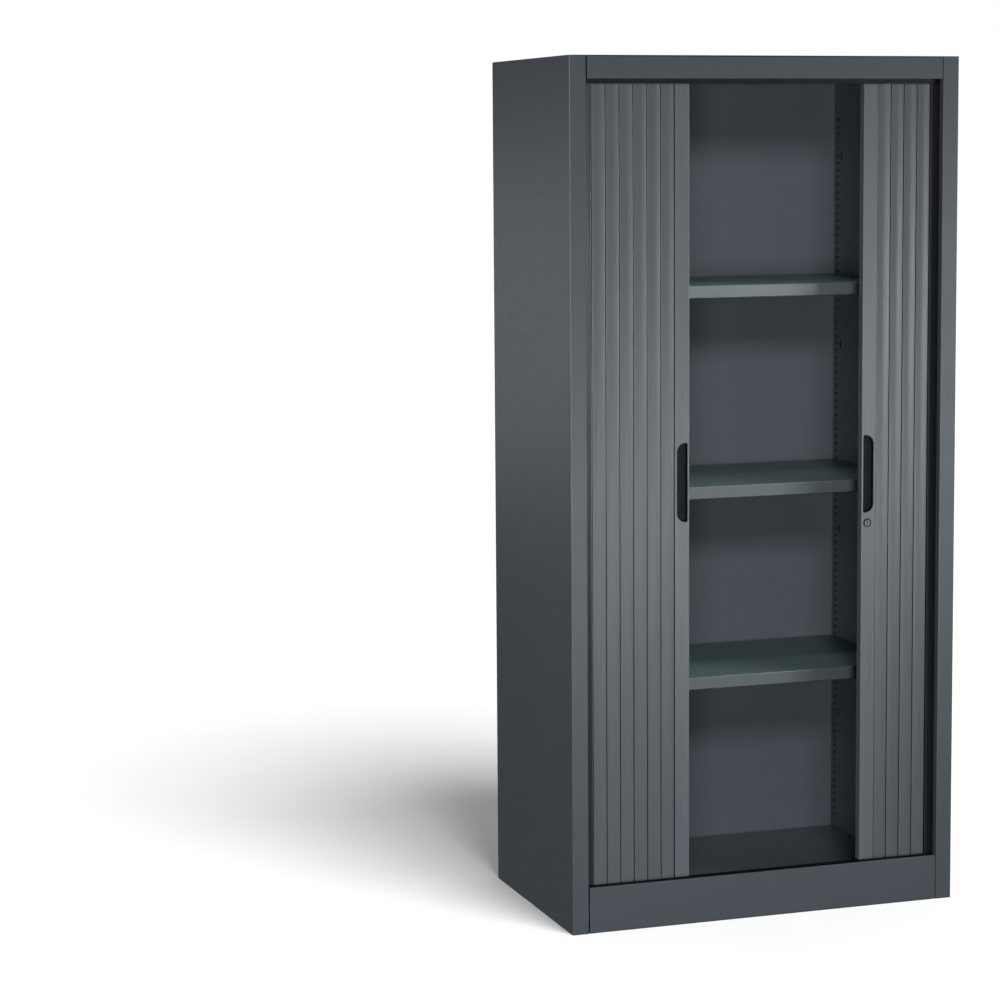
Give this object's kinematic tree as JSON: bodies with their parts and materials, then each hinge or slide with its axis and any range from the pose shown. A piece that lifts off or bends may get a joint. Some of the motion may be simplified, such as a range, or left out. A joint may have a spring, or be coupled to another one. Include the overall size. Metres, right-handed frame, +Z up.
{
  "type": "roll front tool cabinet",
  "caption": "Upright steel cabinet with sideways rolling slatted shutters, recessed grips, a cam lock, adjustable shelves and levelling feet.",
  "frame": {"origin": "on the floor under the middle of the cabinet", "axes": "+Z up, -Y towards the front, +X towards the right-hand side seen from the front"},
  "size_m": [0.8, 0.45, 1.66],
  "materials": {
    "body_steel": "anthracite powder coat, fine satin texture",
    "lining_steel": "anthracite powder coat, satin",
    "shelf_steel": "grey-green anthracite powder coat, satin",
    "slat_plastic": "anthracite extruded plastic, satin",
    "stile_plastic": "anthracite extruded profile, satin",
    "track_plastic": "black moulded plastic",
    "grip_plastic": "black moulded plastic, fine grain",
    "lock_chrome": "polished nickel plate",
    "lock_steel": "bright zinc plate",
    "zinc_steel": "zinc-plated sheet",
    "foot_plastic": "black moulded pad on a zinc-plated stud"
  },
  "bodies": {
    "cabinet": {"left_side_panel": "body_steel", "right_side_panel": "body_steel", "top_panel": "body_steel", "front_fascia": "body_steel", "front_plinth": "body_steel", "back_panel": "body_steel", "floor_panel": "body_steel", "left_lining": "lining_steel", "right_lining": "lining_steel", "lower_shelf": "shelf_steel", "middle_shelf": "shelf_steel", "upper_shelf": "shelf_steel", "shelf_clips": "zinc_steel", "top_track": "track_plastic", "bottom_track": "track_plastic", "foot_brackets": "zinc_steel", "left_bend_slat_1": "slat_plastic", "left_bend_slat_2": "slat_plastic", "right_bend_slat_1": "slat_plastic", "right_bend_slat_2": "slat_plastic"},
    "left_corner_slat": {"left_front_slat_6": "slat_plastic"},
    "left_leading_stile": {"left_stile": "stile_plastic", "left_grip": "grip_plastic", "left_stile_glides": "track_plastic"},
    "left_front_slats": {"left_front_slat_1": "slat_plastic", "left_front_slat_2": "slat_plastic", "left_front_slat_3": "slat_plastic", "left_front_slat_4": "slat_plastic", "left_front_slat_5": "slat_plastic"},
    "left_side_slat": {"left_stored_slat_1": "slat_plastic"},
    "left_stored_slats": {"left_stored_slat_2": "slat_plastic", "left_stored_slat_3": "slat_plastic", "left_stored_slat_4": "slat_plastic", "left_stored_slat_5": "slat_plastic", "left_stored_slat_6": "slat_plastic", "left_stored_slat_7": "slat_plastic"},
    "right_corner_slat": {"right_front_slat_4": "slat_plastic"},
    "right_leading_stile": {"right_stile": "stile_plastic", "right_grip": "grip_plastic", "right_stile_glides": "track_plastic", "lock_barrel": "lock_chrome", "lock_nut": "lock_steel"},
    "right_front_slats": {"right_front_slat_1": "slat_plastic", "right_front_slat_2": "slat_plastic", "right_front_slat_3": "slat_plastic"},
    "right_side_slat": {"right_stored_slat_1": "slat_plastic"},
    "right_stored_slats": {"right_stored_slat_2": "slat_plastic", "right_stored_slat_3": "slat_plastic", "right_stored_slat_4": "slat_plastic", "right_stored_slat_5": "slat_plastic", "right_stored_slat_6": "slat_plastic", "right_stored_slat_7": "slat_plastic", "right_stored_slat_8": "slat_plastic"},
    "lock_cylinder": {"lock_plug": "lock_chrome", "lock_cam": "lock_steel"},
    "front_left_levelling_foot": {"front_left_foot": "foot_plastic"},
    "front_right_levelling_foot": {"front_right_foot": "foot_plastic"},
    "rear_left_levelling_foot": {"rear_left_foot": "foot_plastic"},
    "rear_right_levelling_foot": {"rear_right_foot": "foot_plastic"}
  },
  "joints": [
    {"name": "left_shutter_close", "type": "slide", "parent": "cabinet", "child": "left_corner_slat", "axis": [1, 0, 0], "range_m": [0, 0.1662]},
    {"name": "left_shutter_open", "type": "slide", "parent": "left_corner_slat", "child": "left_leading_stile", "axis": [1, 0, 0], "range_m": [-0.1385, 0]},
    {"name": "left_front_slats_round_corner", "type": "hinge", "parent": "left_corner_slat", "child": "left_front_slats", "pos_m": [-0.26641, -0.07971, 0.8], "axis": [0, 0, 1], "range_deg": [-90, 0], "deforming": ["left_front_slat_1", "left_front_slat_2", "left_front_slat_3", "left_front_slat_4", "left_front_slat_5"]},
    {"name": "left_side_slat_slide", "type": "slide", "parent": "cabinet", "child": "left_side_slat", "axis": [0, 1, 0], "range_m": [0, 0.1385]},
    {"name": "left_stored_slats_round_corner", "type": "hinge", "parent": "left_side_slat", "child": "left_stored_slats", "pos_m": [-0.25256, -0.06586, 0.8], "axis": [0, 0, 1], "range_deg": [0, 90], "deforming": ["left_stored_slat_2", "left_stored_slat_3", "left_stored_slat_4", "left_stored_slat_5", "left_stored_slat_6", "left_stored_slat_7"]},
    {"name": "right_shutter_close", "type": "slide", "parent": "cabinet", "child": "right_corner_slat", "axis": [-1, 0, 0], "range_m": [0, 0.1939]},
    {"name": "right_shutter_open", "type": "slide", "parent": "right_corner_slat", "child": "right_leading_stile", "axis": [-1, 0, 0], "range_m": [-0.0831, 0]},
    {"name": "right_front_slats_round_corner", "type": "hinge", "parent": "right_corner_slat", "child": "right_front_slats", "pos_m": [0.29411, -0.10741, 0.8], "axis": [0, 0, 1], "range_deg": [0, 90], "deforming": ["right_front_slat_1", "right_front_slat_2", "right_front_slat_3"]},
    {"name": "right_side_slat_slide", "type": "slide", "parent": "cabinet", "child": "right_side_slat", "axis": [0, 1, 0], "range_m": [0, 0.0831]},
    {"name": "right_stored_slats_round_corner", "type": "hinge", "parent": "right_side_slat", "child": "right_stored_slats", "pos_m": [0.23871, -0.05201, 0.8], "axis": [0, 0, 1], "range_deg": [-90, 0], "deforming": ["right_stored_slat_2", "right_stored_slat_3", "right_stored_slat_4", "right_stored_slat_5", "right_stored_slat_6", "right_stored_slat_7", "right_stored_slat_8"]},
    {"name": "lock_turn", "type": "hinge", "parent": "right_leading_stile", "child": "lock_cylinder", "pos_m": [0.22121, -0.199, 0.759], "axis": [0, 1, 0], "range_deg": [0, 90]},
    {"name": "front_left_foot_screw", "type": "slide", "parent": "cabinet", "child": "front_left_levelling_foot", "axis": [0, 0, 1], "range_m": [0, 0.006]},
    {"name": "front_right_foot_screw", "type": "slide", "parent": "cabinet", "child": "front_right_levelling_foot", "axis": [0, 0, 1], "range_m": [0, 0.006]},
    {"name": "rear_left_foot_screw", "type": "slide", "parent": "cabinet", "child": "rear_left_levelling_foot", "axis": [0, 0, 1], "range_m": [0, 0.006]},
    {"name": "rear_right_foot_screw", "type": "slide", "parent": "cabinet", "child": "rear_right_levelling_foot", "axis": [0, 0, 1], "range_m": [0, 0.006]}
  ],
  "couplings": [
    {"joint": "left_front_slats_round_corner", "follows": "left_shutter_open", "rad_per_m": 11.341},
    {"joint": "left_side_slat_slide", "follows": "left_shutter_open", "ratio": -1},
    {"joint": "left_stored_slats_round_corner", "follows": "left_shutter_close", "rad_per_m": 9.4512},
    {"joint": "right_front_slats_round_corner", "follows": "right_shutter_open", "rad_per_m": -18.902},
    {"joint": "right_side_slat_slide", "follows": "right_shutter_open", "ratio": -1},
    {"joint": "right_stored_slats_round_corner", "follows": "right_shutter_close", "rad_per_m": -8.1011}
  ]
}
